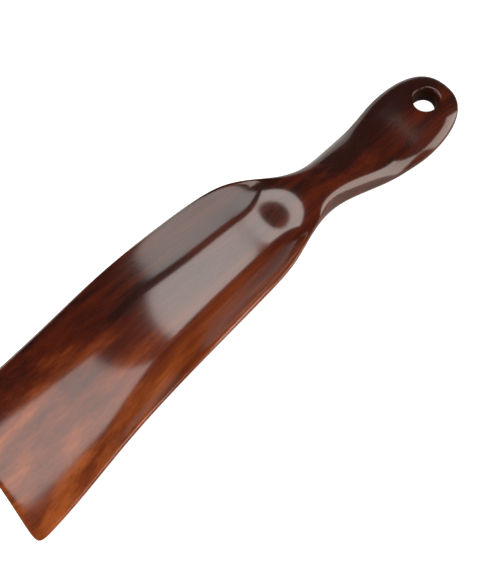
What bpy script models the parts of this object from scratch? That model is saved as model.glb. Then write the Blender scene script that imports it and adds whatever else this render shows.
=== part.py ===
"""Shoehorn in one piece: a scooped blade, a narrow waist and a paddle handle with a hanging hole.

+X runs from the blade's tip to the handle, +Z is up and the scoop faces up.  The part is
symmetric about Y = 0 and stands with its origin at the bottom centre of its box: it rests on
the tip's edge and on the small flat under the handle.

Half of a coarse cage is lofted through unlike sections and around the hanging hole, then
mirrored and subdivided.  Places along the part are measured along the bent line of its rims.
"""
from math import cos, hypot, pi, radians, sin, tan

import bmesh
import bpy
import numpy as np

MM = 0.001

# Driving sizes
LENGTH = 182 * MM
BLADE_HALF_WIDTH = 21.3 * MM
WAIST_HALF_WIDTH = 7.8 * MM
HANDLE_HALF_WIDTH = 13.0 * MM
CHANNEL_DEPTH = 9.8 * MM
TIP_BOW = 2.2 * MM
TIP_THICKNESS = 1.8 * MM
HANDLE_THICKNESS = 9.6 * MM
HOLE_RADIUS = 3.7 * MM
HOLE_TO_END = 9.9 * MM
HOLE_ROUNDING = 1.1 * MM

# Handle: how far its faces drop to their edges, and how full its rounded end is.
# Shares of the length: where the end starts, how far the tip's bow reaches, and the resting place
HANDLE_DROP = 0.37 * HANDLE_THICKNESS
HANDLE_EDGE = HANDLE_THICKNESS - 2 * HANDLE_DROP
END_FULLNESS = 2.45
END_SHARE = 0.885
BOW_SHARE = 0.2
BOW_POWER = 4
REST_SHARE = 0.845

# Keys along the part: (share of the length, value)
HALF_WIDTH = (
    (0.00, BLADE_HALF_WIDTH),
    (0.07, 0.98 * BLADE_HALF_WIDTH),
    (0.22, 0.885 * BLADE_HALF_WIDTH),
    (0.40, 0.82 * BLADE_HALF_WIDTH),
    (0.53, 0.735 * BLADE_HALF_WIDTH),
    (0.61, 0.52 * BLADE_HALF_WIDTH),
    (0.69, WAIST_HALF_WIDTH),
    (0.79, 1.28 * WAIST_HALF_WIDTH),
    (END_SHARE, HANDLE_HALF_WIDTH),
)
CHANNEL = (
    (0.00, 0.40 * CHANNEL_DEPTH),
    (0.20, 0.65 * CHANNEL_DEPTH),
    (0.45, CHANNEL_DEPTH),
    (0.56, 0.88 * CHANNEL_DEPTH),
    (0.66, 0.0),
    (1.00, 0.0),
)
THICKNESS = (
    (0.00, TIP_THICKNESS),
    (0.30, 1.7 * TIP_THICKNESS),
    (0.53, 2.5 * TIP_THICKNESS),
    (0.67, 0.95 * HANDLE_THICKNESS),
    (0.76, HANDLE_THICKNESS),
    (1.00, HANDLE_THICKNESS),
)
EDGE = (
    (0.00, 0.85 * TIP_THICKNESS),
    (0.30, 1.1 * TIP_THICKNESS),
    (0.53, 1.7 * TIP_THICKNESS),
    (0.68, HANDLE_EDGE),
    (1.00, HANDLE_EDGE),
)
DROP = (
    (0.00, 0.0),
    (0.53, 0.0),
    (0.70, HANDLE_DROP),
    (1.00, HANDLE_DROP),
)
FULLNESS = (
    (0.00, 2.3),
    (0.55, 2.3),
    (0.72, 3.6),
    (1.00, 3.6),
)
PITCH = (
    (0.00, radians(22)),
    (0.20, radians(23)),
    (0.40, radians(10)),
    (0.54, radians(1.5)),
    (0.62, radians(-16.5)),
    (0.70, radians(-14)),
    (0.79, radians(-17)),
    (END_SHARE, radians(14.5)),
    (1.00, radians(14.5)),
)

# Cage: stations of the plain sections, with the last four over the flat under the handle,
# places across a half section, and places between the hole and the outline
STATIONS = (0.022, 0.08, 0.15, 0.22, 0.30, 0.38, 0.46, 0.53, 0.575, 0.615, 0.655, 0.70, 0.75,
            0.80, 0.83, 0.86, END_SHARE)
FLAT_STATIONS = 4
ACROSS = (0.0, 0.30, 0.58, 0.82, 1.0)
FLAT_COLUMNS = 3
HOLE_TO_OUTLINE = (0.40, 0.76)
LAST = len(ACROSS) - 1
END_STEPS = 2 * LAST
RING_STEPS = 4
BEVEL_SHARE = 0.24
WALL_SHARES = (0.3, 0.7)
EDGE_POINTS = len(WALL_SHARES) + 2
SUBDIVISIONS = 1

# A subdivided ring of twice RING_STEPS points shrinks to this share of its radius
RING_SHRINK = (2 + cos(pi / RING_STEPS)) / 3


def smooth_curve(keys, places):
    """Values at the places on a smooth curve through the keys, with no overshoot between them."""
    key_places, values = np.array(keys).T
    steps = np.diff(key_places)
    slopes = np.diff(values) / steps
    before, after = slopes[:-1], slopes[1:]
    turning = before * after <= 0
    sums = np.where(turning, 1.0, before + after)
    inner = np.where(turning, 0.0, 2 * before * after / sums)
    tangents = np.concatenate(([slopes[0]], inner, [slopes[-1]]))
    i = np.clip(np.searchsorted(key_places, places) - 1, 0, len(steps) - 1)
    t = (places - key_places[i]) / steps[i]
    start = (1 + 2 * t) * (1 - t) ** 2 * values[i] + t * (1 - t) ** 2 * steps[i] * tangents[i]
    end = t * t * (3 - 2 * t) * values[i + 1] - t * t * (1 - t) * steps[i] * tangents[i + 1]
    return start + end


def bent_line(samples=400):
    """Shares, positions, heights and pitches of the rim line, tilted until the handle rests level."""
    shares = np.linspace(0, 1, samples)
    pitches = smooth_curve(PITCH, shares)
    step = LENGTH / (samples - 1)
    along = np.concatenate(([0], np.cumsum(np.cos(pitches[1:]) * step)))
    up = np.concatenate(([0], np.cumsum(np.sin(pitches[1:]) * step)))
    tip_height = (CHANNEL[0][1] + EDGE[0][1]) * cos(PITCH[0][1])
    rest_along = np.interp(REST_SHARE, shares, along)
    rest_up = np.interp(REST_SHARE, shares, up)
    tilt = (HANDLE_THICKNESS - tip_height - rest_up) / rest_along
    positions = along * cos(tilt) - up * sin(tilt)
    heights = tip_height + along * sin(tilt) + up * cos(tilt)
    return shares, positions, heights, pitches + tilt


LINE = bent_line()


def place(distance, y, depth):
    """World position at a distance along the line, offset across it and down from it."""
    shares, positions, heights, pitches = LINE
    share = distance / LENGTH
    pitch = np.interp(share, shares, pitches)
    x = np.interp(share, shares, positions) + depth * sin(pitch)
    z = np.interp(share, shares, heights) - depth * cos(pitch)
    return np.array((x, y, z))


def depths(distance, y):
    """Depths of the upper and lower faces under the line."""
    share = min(distance / LENGTH, 1.0)
    channel = smooth_curve(CHANNEL, share)
    thickness = smooth_curve(THICKNESS, share)
    edge = smooth_curve(EDGE, share)
    drop = smooth_curve(DROP, share)
    fullness = smooth_curve(FULLNESS, share)
    half_width = smooth_curve(HALF_WIDTH, min(share, END_SHARE))
    beyond = max(0.0, (share - END_SHARE) / (1 - END_SHARE))
    nearness = (beyond ** END_FULLNESS + (y / half_width) ** END_FULLNESS) ** (1 / END_FULLNESS)
    curve = min(nearness, 1.0) ** fullness
    upper = channel * (1 - curve) + drop * curve
    lower = (channel + thickness) * (1 - curve) + (drop + edge) * curve
    return upper, lower


def edge_points(distance, y, out_along, out_across):
    """The four points down the rounded edge at a place on the outline, given which way is out."""
    upper, lower = depths(distance, y)
    wall = lower - upper
    inner_distance = distance - BEVEL_SHARE * wall * out_along
    inner_y = y - BEVEL_SHARE * wall * out_across
    middles = [place(distance, y, upper + share * wall) for share in WALL_SHARES]
    return [place(inner_distance, inner_y, upper), *middles, place(inner_distance, inner_y, lower)]


def face_points(upper_plan, lower_plan):
    """Points on the upper and on the lower face at each (distance, y) of their plans."""
    upper = [place(*spot, depths(*spot)[0]) for spot in upper_plan]
    lower = [place(*spot, depths(*spot)[1]) for spot in lower_plan]
    return upper, lower


def cage_through(sections):
    """Cage sections that make the subdivided surface run through the given sections."""
    sections = np.array(sections)
    count = len(sections)
    weights = np.eye(count)
    for i in range(1, count - 1):
        weights[i, i - 1:i + 2] = (1 / 6, 4 / 6, 1 / 6)
    return np.linalg.solve(weights, sections.reshape(count, -1)).reshape(sections.shape)


def bowed(share, across):
    """Distance along the part of a place across it, on stations bowed forward near the tip."""
    return share * LENGTH + TIP_BOW * max(0.0, 1 - share / BOW_SHARE) * across ** BOW_POWER


def tip_row():
    """Edges across the tip, from the middle to the corner."""
    half_width = HALF_WIDTH[0][1]
    edges = [edge_points(bowed(0, across), half_width * across, -1, 0) for across in ACROSS[:-1]]
    edges.append(edge_points(bowed(0, 1), half_width, -sin(pi / 4), sin(pi / 4)))
    return edges


def plain_rows():
    """Upper face, edge and lower face of each plain station, flat under the handle."""
    sections = []
    for share in STATIONS:
        half_width = float(smooth_curve(HALF_WIDTH, share))
        plan = [(bowed(share, across), half_width * across) for across in ACROSS[:-1]]
        upper, lower = face_points(plan, plan)
        sections.append(upper + edge_points(bowed(share, 1), half_width, 0, 1) + lower[::-1])
    rows = cage_through(sections)
    rows[-FLAT_STATIONS:, -FLAT_COLUMNS:, 2] = 0.0
    return rows


def end_edge(quarter):
    """Edge on the handle's rounded end, from its widest place (0) round to its very end (1)."""
    end_length = (1 - END_SHARE) * LENGTH
    along = sin(quarter * pi / 2) ** (2 / END_FULLNESS)
    across = cos(quarter * pi / 2) ** (2 / END_FULLNESS)
    out_along = along ** (END_FULLNESS - 1) / end_length
    out_across = across ** (END_FULLNESS - 1) / HANDLE_HALF_WIDTH
    size = hypot(out_along, out_across)
    spot = (END_SHARE * LENGTH + along * end_length, across * HANDLE_HALF_WIDTH)
    return spot, edge_points(*spot, out_along / size, out_across / size)


def hole_plan(side):
    """Half a ring round the upright hole, tip side first, on the upper (1) or lower (-1) face."""
    pitch = LINE[3][-1]
    centre = LENGTH - HOLE_TO_END + side * tan(pitch) * HANDLE_THICKNESS / 2
    ring = (HOLE_RADIUS + HOLE_ROUNDING) / RING_SHRINK
    angles = [pi - step * pi / RING_STEPS for step in range(RING_STEPS + 1)]
    return [(centre + ring * cos(angle) / cos(pitch), ring * sin(angle)) for angle in angles]


def hole_rows():
    """Upper face, edge and lower face of the three rows beside the hole."""
    rows = []
    for number in range(1, RING_STEPS):
        spot, edge = end_edge(number / END_STEPS)
        plans = []
        for ring in (hole_plan(1), hole_plan(-1)):
            middle = ring[0] if number == 1 else ring[-1]
            inner = np.array(ring[number])
            outward = np.array(spot) - inner
            plans.append([middle, inner, *(inner + share * outward for share in HOLE_TO_OUTLINE)])
        upper, lower = face_points(*plans)
        rows.append(upper + edge + lower[::-1])
    return rows


def hole_wall():
    """Points down the hole's wall between its two rims, for each place of the half ring."""
    upper, lower = face_points(hole_plan(1), hole_plan(-1))
    centre = (upper[0][0] + upper[-1][0]) / 2
    shrink = HOLE_RADIUS / (HOLE_RADIUS + HOLE_ROUNDING)
    wall = []
    for top, bottom in zip(upper, lower):
        x = centre + (top[0] - centre) * shrink
        levels = (top[2] - HOLE_ROUNDING, (top[2] + bottom[2]) / 2, bottom[2] + HOLE_ROUNDING)
        wall.append([(x, top[1] * shrink, level) for level in levels])
    return wall


def build_half():
    """Half of the cage, open at the plane Y = 0."""
    rows = [*plain_rows(), *hole_rows()]
    tip = tip_row()
    end = [end_edge(1 - step / END_STEPS)[1] for step in range(LAST + 1)]
    cage = bmesh.new()

    def new_vertices(points):
        return [cage.verts.new(point) for point in points]

    # Each border runs from the upper face, down over the edge, to the lower face
    tip = [new_vertices(edge) for edge in tip]
    rows = [new_vertices(row) for row in rows]
    end = [new_vertices(edge) for edge in end]
    plain_upper = [row[:LAST + 1] for row in rows]
    plain_lower = [row[:-LAST - 2:-1] for row in rows]
    upper = [[edge[0] for edge in tip], *plain_upper, [edge[0] for edge in end]]
    lower = [[edge[-1] for edge in tip], *plain_lower, [edge[-1] for edge in end]]
    border = [*tip, *(row[LAST:LAST + EDGE_POINTS] for row in rows), *end[::-1]]

    hole_row = len(rows) - 1
    for i in range(len(upper) - 1):
        for j in range(LAST):
            if j == 0 and i in (hole_row - 1, hole_row):
                continue
            cage.faces.new((upper[i][j], upper[i + 1][j], upper[i + 1][j + 1], upper[i][j + 1]))
            cage.faces.new((lower[i][j], lower[i][j + 1], lower[i + 1][j + 1], lower[i + 1][j]))
    for near, far in zip(border, border[1:]):
        for k in range(EDGE_POINTS - 1):
            cage.faces.new((near[k], far[k], far[k + 1], near[k + 1]))

    def around_hole(face):
        before, beside, after = face[hole_row - 1:hole_row + 2]
        return [before[0], before[1], beside[1], after[1], after[0]]

    columns = []
    for top, middle, bottom in zip(around_hole(upper), hole_wall(), around_hole(lower)):
        columns.append([top, *new_vertices(middle), bottom])
    for near, far in zip(columns, columns[1:]):
        for k in range(len(near) - 1):
            cage.faces.new((far[k], near[k], near[k + 1], far[k + 1]))
    bmesh.ops.delete(cage, geom=[v for v in cage.verts if not v.link_faces], context="VERTS")
    return cage


def lacquered_wood():
    """Dark reddish-brown wood under a clear gloss."""
    material = bpy.data.materials.new("lacquered_wood")
    material.use_nodes = True
    shader = material.node_tree.nodes["Principled BSDF"]
    shader.inputs["Base Color"].default_value = (0.13, 0.035, 0.012, 1.0)
    shader.inputs["Roughness"].default_value = 0.15
    shader.inputs["Metallic"].default_value = 0.0
    return material


def stand_at_origin(piece):
    """Move the mesh so that the finished piece stands on Z = 0 with its box centred on the origin."""
    finished = piece.evaluated_get(bpy.context.evaluated_depsgraph_get())
    corners = np.array([vertex.co for vertex in finished.data.vertices])
    low, high = corners.min(axis=0), corners.max(axis=0)
    for vertex in piece.data.vertices:
        vertex.co.x -= (low[0] + high[0]) / 2
        vertex.co.z -= low[2]


def make_shoehorn(collection):
    """The whole shoehorn: one solid."""
    mesh = bpy.data.meshes.new("shoehorn")
    cage = build_half()
    cage.to_mesh(mesh)
    cage.free()
    mesh.materials.append(lacquered_wood())
    mesh.shade_smooth()
    piece = bpy.data.objects.new("shoehorn", mesh)
    collection.objects.link(piece)
    mirror = piece.modifiers.new("both halves", "MIRROR")
    mirror.use_axis = (False, True, False)
    mirror.merge_threshold = 0.0001 * MM
    surface = piece.modifiers.new("smooth surface", "SUBSURF")
    surface.levels = SUBDIVISIONS
    surface.render_levels = SUBDIVISIONS
    facets = piece.modifiers.new("facets", "TRIANGULATE")
    facets.quad_method = "FIXED"
    stand_at_origin(piece)


def main():
    for old in list(bpy.data.objects):
        bpy.data.objects.remove(old)
    collection = bpy.data.collections.new("shoehorn")
    bpy.context.scene.collection.children.link(collection)
    make_shoehorn(collection)


main()
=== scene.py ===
"""Lacquered wooden shoehorn: a scooped blade, a narrow waist and a paddle handle with a hanging hole.

The handle points along +X and the scoop faces up.  The grain runs along X through the solid wood.
"""
from math import cos, pi, radians, sin, tan

import bpy
from mathutils import Matrix, Vector


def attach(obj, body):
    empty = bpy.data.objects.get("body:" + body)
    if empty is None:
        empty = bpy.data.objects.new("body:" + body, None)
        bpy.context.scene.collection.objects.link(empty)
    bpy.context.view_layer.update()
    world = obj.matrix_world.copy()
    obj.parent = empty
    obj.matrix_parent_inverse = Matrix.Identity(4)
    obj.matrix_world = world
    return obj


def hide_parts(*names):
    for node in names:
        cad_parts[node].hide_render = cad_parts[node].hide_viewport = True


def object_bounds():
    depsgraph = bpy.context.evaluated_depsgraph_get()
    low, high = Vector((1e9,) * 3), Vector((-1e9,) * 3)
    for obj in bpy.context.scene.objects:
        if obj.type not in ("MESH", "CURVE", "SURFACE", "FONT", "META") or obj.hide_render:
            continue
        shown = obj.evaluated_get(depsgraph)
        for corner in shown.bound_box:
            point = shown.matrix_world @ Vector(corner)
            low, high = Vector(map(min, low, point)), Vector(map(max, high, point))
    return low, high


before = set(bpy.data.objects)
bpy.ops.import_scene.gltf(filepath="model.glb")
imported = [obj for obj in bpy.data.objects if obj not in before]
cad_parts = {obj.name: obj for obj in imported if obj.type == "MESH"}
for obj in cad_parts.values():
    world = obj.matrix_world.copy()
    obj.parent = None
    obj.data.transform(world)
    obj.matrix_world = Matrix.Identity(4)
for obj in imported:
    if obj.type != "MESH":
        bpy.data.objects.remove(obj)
cad_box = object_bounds()

MM = 0.001

# Smooth body: how close corners are joined, the widest angle (radians) across a pair of triangles
# that becomes one four-sided face, and how often the faces are divided
JOIN_DISTANCE = 0.001 * MM
PAIR_ANGLE = 2.5
SMOOTHING = 2

# Camera: direction from the floor, roll, distance, shift of its aim, and lens
CAMERA_AZIMUTH = radians(51.98)
CAMERA_HEIGHT = radians(69.97)
CAMERA_ROLL = radians(-4.73)
CAMERA_DISTANCE = 179.1 * MM
CAMERA_RIGHT = 2.96 * MM
CAMERA_UP = -3.51 * MM
SENSOR_WIDTH = 36.0
FOCAL_LENGTH = 37.83
NEAREST_SEEN = 10 * MM

# Wood colours
HEART = (0.019, 0.0040, 0.0026, 1)
RED_BROWN = (0.068, 0.0105, 0.0032, 1)
WARM_BROWN = (0.155, 0.031, 0.0062, 1)
ORANGE_BROWN = (0.300, 0.074, 0.0130, 1)
# Painted shade: a darker colour laid on the hanging hole's wall
PAINTED_HOLE_SHADE = (0.030, 0.0085, 0.0045, 1)
# Painted highlight: a lighter colour laid along the convex edges
PAINTED_EDGE_HIGHLIGHT = (0.330, 0.140, 0.060, 1)
PORE = (0.010, 0.0035, 0.0025, 1)
STAIN = ((0.10, HEART), (0.42, RED_BROWN), (0.68, WARM_BROWN), (0.95, ORANGE_BROWN))

# Grain: fineness, stretch along X, sideways wander, and the noise levels of no streak and full streak
BROAD_STREAKS = {"Fineness": 170.0, "Along": 0.018, "Wander": 5 * MM, "Low": 0.30, "High": 0.72}
NARROW_STREAKS = {"Fineness": 480.0, "Along": 0.016, "Wander": 3 * MM, "Low": 0.36, "High": 0.66}
FIBRES = {"Fineness": 1700.0, "Along": 0.022, "Wander": 1 * MM, "Low": 0.30, "High": 0.70}
PORES = {"Fineness": 2600.0, "Along": 0.075, "Wander": 1 * MM, "Low": 0.62, "High": 0.72}
BROAD_OFFSET = (0.0, 13 * MM, 4 * MM)
YEAR_RINGS = {"Scale": 62.0, "Distortion": 5.0, "Detail": 2.0, "Detail Scale": 0.4}
WANDER_SCALE = 22.0

# Stain tone: what each pattern adds, and how it lightens along and across the body, given as the
# two places and the tone at each
BROAD_TONE = 0.36
NARROW_TONE = 0.16
RING_TONE = 0.10
FIBRE_TONE = 0.10
WARM_TONE = 0.30
TOWARDS_TIP = (45 * MM, -75 * MM, -0.24, 0.10)
TOWARDS_RIM = (12 * MM, -14 * MM, -0.12, 0.34)

# Warm streak on the scoop's +Y side: its line, how far it drifts, the distances from the line and
# the places along X where it starts to show and where it is full
WARM_LINE_Y = 8.5 * MM
WARM_DRIFT = 6 * MM
WARM_DRIFT_SCALE = 28.0
WARM_ACROSS = (4.5 * MM, 1.2 * MM)
WARM_ALONG = (-30 * MM, -66 * MM)

# Hanging hole: its middle, its radius, and the radii where the painted shade and rougher end grain
# of its wall and the thin lacquer start and where they are full
HOLE_TO_END = 9.46 * MM
HOLE_X = cad_box[1][0] - HOLE_TO_END
HOLE_RADIUS = 3.7 * MM
HOLE_SHADE_AND_END_GRAIN_RADII = (HOLE_RADIUS + 0.55 * MM, HOLE_RADIUS + 0.1 * MM)
THIN_LACQUER_RADII = (HOLE_RADIUS + 1.5 * MM, HOLE_RADIUS + 0.3 * MM)

# Rubbed edges with a painted highlight: how sharp an edge counts, the patches that break them up, and how
# strongly the rubbing and the painted highlight show
RUB_AND_HIGHLIGHT_POINTINESS = (0.53, 0.60)
RUB_AND_HIGHLIGHT_PATCH_SCALE = 420.0
RUB_AND_HIGHLIGHT_PATCHES = (0.45, 0.70)
RUB_AND_HIGHLIGHT_AMOUNT = 0.35

# Finish: satin wood under a clear lacquer
PORE_DARKNESS = 0.55
SATIN = (0.20, 0.32)
RUB_ROUGHER = 0.2
END_GRAIN_ROUGHER = 0.4
RUB_THINNER = 0.5
HOLE_THINNER = 0.85
LACQUER_ROUGHNESS = 0.13
LACQUER_IOR = 1.5
WOOD_IOR = 1.45
WOOD_SPECULAR = 0.06

# Relief: what each pattern adds to the height, and the whole relief's depth and strength
FIBRE_RELIEF = 0.25
PORE_RELIEF = -0.6
RIPPLE_RELIEF = 1.6
RIPPLE_SCALE = 60.0
RELIEF_DEPTH = 0.15 * MM
RELIEF_STRENGTH = 0.5

# Studio, in metres.  Softboxes: name, azimuth, height, width and length in degrees, brightness, tint
STUDIO_DISTANCE = 2.5
SOFTBOXES = (
    ("overhead", 80, 76, 19, 71, 6.2, (1.0, 0.92, 0.87)),
    ("side strip", -88, 34, 14, 44, 4.2, (1.0, 0.92, 0.87)),
    ("tip window", 143, 44, 23, 50, 4.2, (1.0, 0.87, 0.81)),
    ("handle side", -47, 14, 50, 40, 4.7, (1.0, 0.88, 0.79)),
)
ROOM_LIGHT = 0.05
BACKDROP = (0.92, 0.92, 0.92, 1)
FLOOR_SIZE = 8
PAPER = (0.50, 0.50, 0.495, 1)
PAPER_ROUGHNESS = 0.8
PAPER_GLOW = 0.85
WHITE = (1, 1, 1, 1)


# ---------------------------------------------------------------- body

def deselect_all():
    for thing in bpy.context.selected_objects:
        thing.select_set(False)


def quad_cage():
    """Joins the loose triangles of the piece in hand and pairs them into a cage of four-sided faces."""
    bpy.ops.object.mode_set(mode="EDIT")
    bpy.ops.mesh.select_all(action="SELECT")
    bpy.ops.mesh.remove_doubles(threshold=JOIN_DISTANCE)
    bpy.ops.mesh.tris_convert_to_quads(face_threshold=PAIR_ANGLE, shape_threshold=PAIR_ANGLE,
                                       topology_influence=1.0)
    bpy.ops.object.mode_set(mode="OBJECT")


def carve_body():
    """The whole shoehorn as one smooth body, shaped from the frame's own solid."""
    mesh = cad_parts["shoehorn"].data.copy()
    mesh.name = "lacquered_body"
    mesh.materials.clear()
    body = bpy.data.objects.new("lacquered_body", mesh)
    bpy.context.scene.collection.objects.link(body)
    deselect_all()
    bpy.context.view_layer.objects.active = body
    body.select_set(True)
    quad_cage()
    smooth = body.modifiers.new("smooth wood", "SUBSURF")
    smooth.levels = SMOOTHING
    smooth.render_levels = SMOOTHING
    bpy.ops.object.modifier_apply(modifier=smooth.name)
    bpy.ops.object.shade_smooth()
    return body


# ---------------------------------------------------------------- node helpers

def add_node(tree, kind, inputs=None, **settings):
    """A new node with its settings, each input given as a value or as the socket that feeds it."""
    made = tree.nodes.new(kind)
    for name, value in settings.items():
        setattr(made, name, value)
    for name, value in (inputs or {}).items():
        if isinstance(value, bpy.types.NodeSocket):
            tree.links.new(value, made.inputs[name])
        else:
            made.inputs[name].default_value = value
    return made


def maths(tree, operation, first, second=0.0, clamp=False):
    return add_node(tree, "ShaderNodeMath", {0: first, 1: second}, operation=operation,
                    use_clamp=clamp).outputs["Value"]


def vector_maths(tree, operation, first, second):
    return add_node(tree, "ShaderNodeVectorMath", {0: first, 1: second}, operation=operation).outputs[0]


def level(tree, value, start, end, low=0.0, high=1.0):
    """Takes start..end to low..high, and holds the value beyond both ends."""
    return add_node(tree, "ShaderNodeMapRange",
                    {"Value": value, "From Min": start, "From Max": end, "To Min": low, "To Max": high},
                    clamp=True).outputs[0]


def mixed(tree, share, first, second):
    """Colour between the first and the second."""
    mix = add_node(tree, "ShaderNodeMix", data_type="RGBA")
    factor, colour_a, colour_b = mix.inputs[0], mix.inputs[6], mix.inputs[7]
    for target, value in ((factor, share), (colour_a, first), (colour_b, second)):
        if isinstance(value, bpy.types.NodeSocket):
            tree.links.new(value, target)
        else:
            target.default_value = value
    return mix.outputs[2]


def new_group(name, inputs):
    """A node group with the inputs named and one Mask output."""
    group = bpy.data.node_groups.new(name, "ShaderNodeTree")
    for label, kind, value in inputs:
        made = group.interface.new_socket(label, in_out="INPUT", socket_type=kind)
        if value is not None:
            made.default_value = value
    group.interface.new_socket("Mask", in_out="OUTPUT", socket_type="NodeSocketFloat")
    return group, group.nodes.new("NodeGroupInput"), group.nodes.new("NodeGroupOutput")


def streaks_group():
    """Long streaks through the solid wood along X, as a mask from 0 to 1."""
    group, given, put = new_group(
        "long streaks",
        (("Vector", "NodeSocketVector", None), ("Fineness", "NodeSocketFloat", 200.0),
         ("Along", "NodeSocketFloat", 0.05), ("Wander", "NodeSocketFloat", 0.002),
         ("Low", "NodeSocketFloat", 0.35), ("High", "NodeSocketFloat", 0.65)))
    wander = add_node(group, "ShaderNodeTexNoise",
                      {"Vector": given.outputs["Vector"], "Scale": WANDER_SCALE, "Detail": 2.0})
    centred = vector_maths(group, "SUBTRACT", wander.outputs["Color"], (0.5, 0.5, 0.5))
    shifted = add_node(group, "ShaderNodeVectorMath",
                       {0: centred, "Scale": given.outputs["Wander"]}, operation="SCALE").outputs[0]
    place = vector_maths(group, "ADD", given.outputs["Vector"], shifted)
    stretch = add_node(group, "ShaderNodeCombineXYZ", {"X": given.outputs["Along"], "Y": 1.0, "Z": 1.0})
    drawn = vector_maths(group, "MULTIPLY", place, stretch.outputs[0])
    grain = add_node(group, "ShaderNodeTexNoise",
                     {"Vector": drawn, "Scale": given.outputs["Fineness"], "Detail": 3.0,
                      "Roughness": 0.55})
    mask = level(group, grain.outputs["Fac"], given.outputs["Low"], given.outputs["High"])
    group.links.new(mask, put.inputs["Mask"])
    return group


def rub_and_highlight_group():
    """Where edges are rubbed and carry a painted highlight: convex edges, broken up by a fine patchy
    noise.
    """
    group, given, put = new_group(
        "edge rub and painted highlight", (("Vector", "NodeSocketVector", None), ("Amount", "NodeSocketFloat", 1.0)))
    edges = add_node(group, "ShaderNodeNewGeometry")
    raised = level(group, edges.outputs["Pointiness"], *RUB_AND_HIGHLIGHT_POINTINESS)
    patches = add_node(group, "ShaderNodeTexNoise",
                       {"Vector": given.outputs["Vector"], "Scale": RUB_AND_HIGHLIGHT_PATCH_SCALE, "Detail": 4.0})
    broken = level(group, patches.outputs["Fac"], *RUB_AND_HIGHLIGHT_PATCHES)
    both = maths(group, "MULTIPLY", raised, broken)
    scaled = maths(group, "MULTIPLY", both, given.outputs["Amount"], clamp=True)
    group.links.new(scaled, put.inputs["Mask"])
    return group


# ---------------------------------------------------------------- lacquered wood

def warm_streak(tree, where, spot):
    """Mask of the warm streak that grows along the scoop towards the tip, on its +Y side."""
    drift = add_node(tree, "ShaderNodeTexNoise",
                     {"Vector": where, "Scale": WARM_DRIFT_SCALE, "Detail": 2.0}).outputs["Fac"]
    shift = maths(tree, "MULTIPLY", maths(tree, "SUBTRACT", drift, 0.5), WARM_DRIFT)
    off_line = maths(tree, "ADD", maths(tree, "SUBTRACT", spot.outputs["Y"], WARM_LINE_Y), shift)
    across = level(tree, maths(tree, "ABSOLUTE", off_line), *WARM_ACROSS)
    along = level(tree, spot.outputs["X"], *WARM_ALONG)
    return maths(tree, "MULTIPLY", across, along)


def stain_colour(tree, where, broad, narrow, fibres):
    """Stain: deep on the handle, and lighter towards the tip and towards the -Y rim."""
    spot = add_node(tree, "ShaderNodeSeparateXYZ", {"Vector": where})
    rings = add_node(tree, "ShaderNodeTexWave", {"Vector": where, **YEAR_RINGS},
                     wave_type="BANDS", bands_direction="Z").outputs["Fac"]
    tone = level(tree, spot.outputs["X"], *TOWARDS_TIP)
    for mask, share in ((broad, BROAD_TONE), (narrow, NARROW_TONE), (rings, RING_TONE),
                        (fibres, FIBRE_TONE), (warm_streak(tree, where, spot), WARM_TONE)):
        tone = maths(tree, "ADD", tone, maths(tree, "MULTIPLY", mask, share))
    tone = maths(tree, "ADD", tone, level(tree, spot.outputs["Y"], *TOWARDS_RIM), clamp=True)

    stain = add_node(tree, "ShaderNodeValToRGB", {"Fac": tone})
    stops = stain.color_ramp.elements
    stops.remove(stops[1])
    stops[0].position, stops[0].color = STAIN[0]
    for position, colour in STAIN[1:]:
        stops.new(position).color = colour
    return stain.outputs["Color"]


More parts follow.
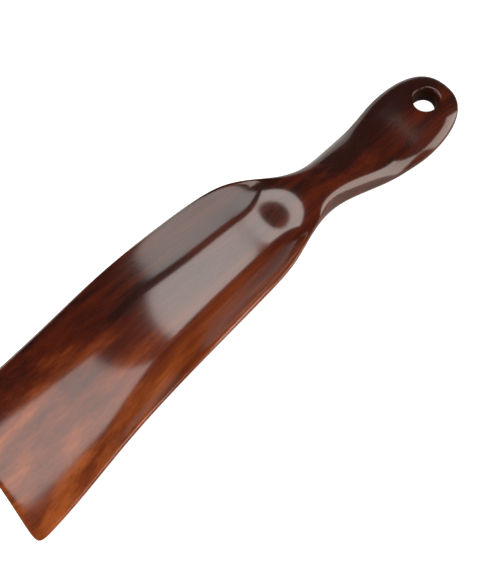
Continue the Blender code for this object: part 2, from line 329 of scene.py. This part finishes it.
def lacquered_wood():
    """Dark stained wood with warm lengthwise streaks under a clear, very glossy lacquer."""
    material = bpy.data.materials.new("lacquered_wood")
    material.use_nodes = True
    tree = material.node_tree
    shader = tree.nodes["Principled BSDF"]
    where = add_node(tree, "ShaderNodeTexCoord").outputs["Object"]
    streaks = streaks_group()

    def streak_mask(pattern, offset=(0, 0, 0)):
        moved = add_node(tree, "ShaderNodeMapping", {"Vector": where, "Location": offset})
        return add_node(tree, "ShaderNodeGroup", {"Vector": moved.outputs[0], **pattern},
                        node_tree=streaks).outputs["Mask"]

    broad = streak_mask(BROAD_STREAKS, BROAD_OFFSET)
    narrow = streak_mask(NARROW_STREAKS)
    fibres = streak_mask(FIBRES)
    pores = streak_mask(PORES)
    rub_and_highlight = add_node(tree, "ShaderNodeGroup", {"Vector": where, "Amount": RUB_AND_HIGHLIGHT_AMOUNT},
                   node_tree=rub_and_highlight_group()).outputs["Mask"]

    # Distance from the hanging hole's middle line, for the painted shade and rougher end grain on its wall
    # and its thin lacquer
    to_hole = vector_maths(tree, "SUBTRACT", where, (HOLE_X, 0.0, 0.0))
    flat = vector_maths(tree, "MULTIPLY", to_hole, (1.0, 1.0, 0.0))
    radius = add_node(tree, "ShaderNodeVectorMath", {0: flat}, operation="LENGTH").outputs["Value"]
    hole_wall = level(tree, radius, *HOLE_SHADE_AND_END_GRAIN_RADII)
    hole_rim = level(tree, radius, *THIN_LACQUER_RADII)

    colour = stain_colour(tree, where, broad, narrow, fibres)
    colour = mixed(tree, maths(tree, "MULTIPLY", pores, PORE_DARKNESS), colour, PORE)
    # Painted highlight: the convex edges are coloured lighter
    colour = mixed(tree, rub_and_highlight, colour, PAINTED_EDGE_HIGHLIGHT)
    # Painted shade: the hanging hole's wall is coloured darker
    colour = mixed(tree, hole_wall, colour, PAINTED_HOLE_SHADE)
    tree.links.new(colour, shader.inputs["Base Color"])

    # Gloss: the wood is satin, rougher on end grain and where it is rubbed, and the lacquer thins there
    satin = level(tree, narrow, 0.0, 1.0, *SATIN)
    satin = maths(tree, "ADD", satin, maths(tree, "MULTIPLY", rub_and_highlight, RUB_ROUGHER), clamp=True)
    satin = maths(tree, "ADD", satin, maths(tree, "MULTIPLY", hole_wall, END_GRAIN_ROUGHER), clamp=True)
    tree.links.new(satin, shader.inputs["Roughness"])
    lacquer = maths(tree, "SUBTRACT", 1.0, maths(tree, "MULTIPLY", rub_and_highlight, RUB_THINNER))
    lacquer = maths(tree, "SUBTRACT", lacquer, maths(tree, "MULTIPLY", hole_rim, HOLE_THINNER), clamp=True)
    tree.links.new(lacquer, shader.inputs["Coat Weight"])
    shader.inputs["Coat Roughness"].default_value = LACQUER_ROUGHNESS
    shader.inputs["Coat IOR"].default_value = LACQUER_IOR
    shader.inputs["IOR"].default_value = WOOD_IOR
    shader.inputs["Specular IOR Level"].default_value = WOOD_SPECULAR

    # Relief: fibres and pores, with a slow ripple left by the scraper
    ripple = add_node(tree, "ShaderNodeTexNoise",
                      {"Vector": where, "Scale": RIPPLE_SCALE, "Detail": 1.0}).outputs["Fac"]
    relief = maths(tree, "ADD", maths(tree, "MULTIPLY", fibres, FIBRE_RELIEF),
                   maths(tree, "MULTIPLY", pores, PORE_RELIEF))
    relief = maths(tree, "ADD", relief, maths(tree, "MULTIPLY", ripple, RIPPLE_RELIEF))
    bump = add_node(tree, "ShaderNodeBump",
                    {"Height": relief, "Distance": RELIEF_DEPTH, "Strength": RELIEF_STRENGTH})
    tree.links.new(bump.outputs["Normal"], shader.inputs["Normal"])
    return material


# ---------------------------------------------------------------- camera, floor and light

def place_camera():
    back = Vector((-cos(CAMERA_AZIMUTH) * cos(CAMERA_HEIGHT), -sin(CAMERA_AZIMUTH) * cos(CAMERA_HEIGHT),
                   sin(CAMERA_HEIGHT)))
    level_right = Vector((sin(CAMERA_AZIMUTH), -cos(CAMERA_AZIMUTH), 0))
    level_up = back.cross(level_right)
    right = cos(CAMERA_ROLL) * level_right + sin(CAMERA_ROLL) * level_up
    up = -sin(CAMERA_ROLL) * level_right + cos(CAMERA_ROLL) * level_up
    lens = bpy.data.cameras.new("view")
    lens.sensor_width = SENSOR_WIDTH
    lens.lens = FOCAL_LENGTH
    lens.clip_start = NEAREST_SEEN
    camera = bpy.data.objects.new("view", lens)
    camera.matrix_world = Matrix((right, up, back)).transposed().to_4x4()
    camera.location = CAMERA_DISTANCE * back + CAMERA_RIGHT * right + CAMERA_UP * up
    bpy.context.scene.collection.objects.link(camera)
    bpy.context.scene.camera = camera


def softbox(name, azimuth, height, width, length, brightness, tint):
    """A soft rectangular light facing the shoehorn, with its length along Y as far as it can be."""
    azimuth, height = radians(azimuth), radians(height)
    out = Vector((cos(azimuth) * cos(height), sin(azimuth) * cos(height), sin(height)))
    along = Vector((0, 1, 0))
    along = (along - along.dot(out) * out).normalized()
    across = along.cross(out)
    lamp = bpy.data.lights.new(name, "AREA")
    lamp.shape = "RECTANGLE"
    lamp.size = 2 * STUDIO_DISTANCE * tan(radians(width) / 2)
    lamp.size_y = 2 * STUDIO_DISTANCE * tan(radians(length) / 2)
    lamp.energy = brightness * pi * lamp.size * lamp.size_y
    lamp.color = tint
    light = bpy.data.objects.new(name, lamp)
    light.matrix_world = Matrix((across, along, out)).transposed().to_4x4()
    light.location = STUDIO_DISTANCE * out
    light.visible_camera = False
    bpy.context.scene.collection.objects.link(light)


def lay_floor():
    """White paper.  Its glow is seen by the camera only, so it doesn't light the wood."""
    bpy.ops.mesh.primitive_plane_add(size=FLOOR_SIZE)
    floor = bpy.context.active_object
    floor.name = "floor"
    paper = bpy.data.materials.new("white_paper")
    paper.use_nodes = True
    tree = paper.node_tree
    shader = tree.nodes["Principled BSDF"]
    shader.inputs["Base Color"].default_value = PAPER
    shader.inputs["Roughness"].default_value = PAPER_ROUGHNESS
    shader.inputs["Emission Color"].default_value = WHITE
    seen = add_node(tree, "ShaderNodeLightPath").outputs["Is Camera Ray"]
    tree.links.new(maths(tree, "MULTIPLY", seen, PAPER_GLOW), shader.inputs["Emission Strength"])
    floor.data.materials.append(paper)


def light_studio():
    """A dim room with a few softboxes, and a pale backdrop that only the camera sees."""
    world = bpy.data.worlds.new("studio")
    bpy.context.scene.world = world
    world.use_nodes = True
    tree = world.node_tree
    dim = tree.nodes["Background"]
    dim.inputs["Color"].default_value = WHITE
    dim.inputs["Strength"].default_value = ROOM_LIGHT
    pale = add_node(tree, "ShaderNodeBackground", {"Color": BACKDROP})
    seen = add_node(tree, "ShaderNodeLightPath").outputs["Is Camera Ray"]
    sky = add_node(tree, "ShaderNodeMixShader",
                   {0: seen, 1: dim.outputs["Background"], 2: pale.outputs["Background"]})
    tree.links.new(sky.outputs[0], tree.nodes["World Output"].inputs["Surface"])
    for light in SOFTBOXES:
        softbox(*light)


body = carve_body()
body.data.materials.append(lacquered_wood())
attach(body, "root")
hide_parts("shoehorn")

place_camera()
lay_floor()
light_studio()
bpy.context.scene.view_settings.view_transform = "Standard"
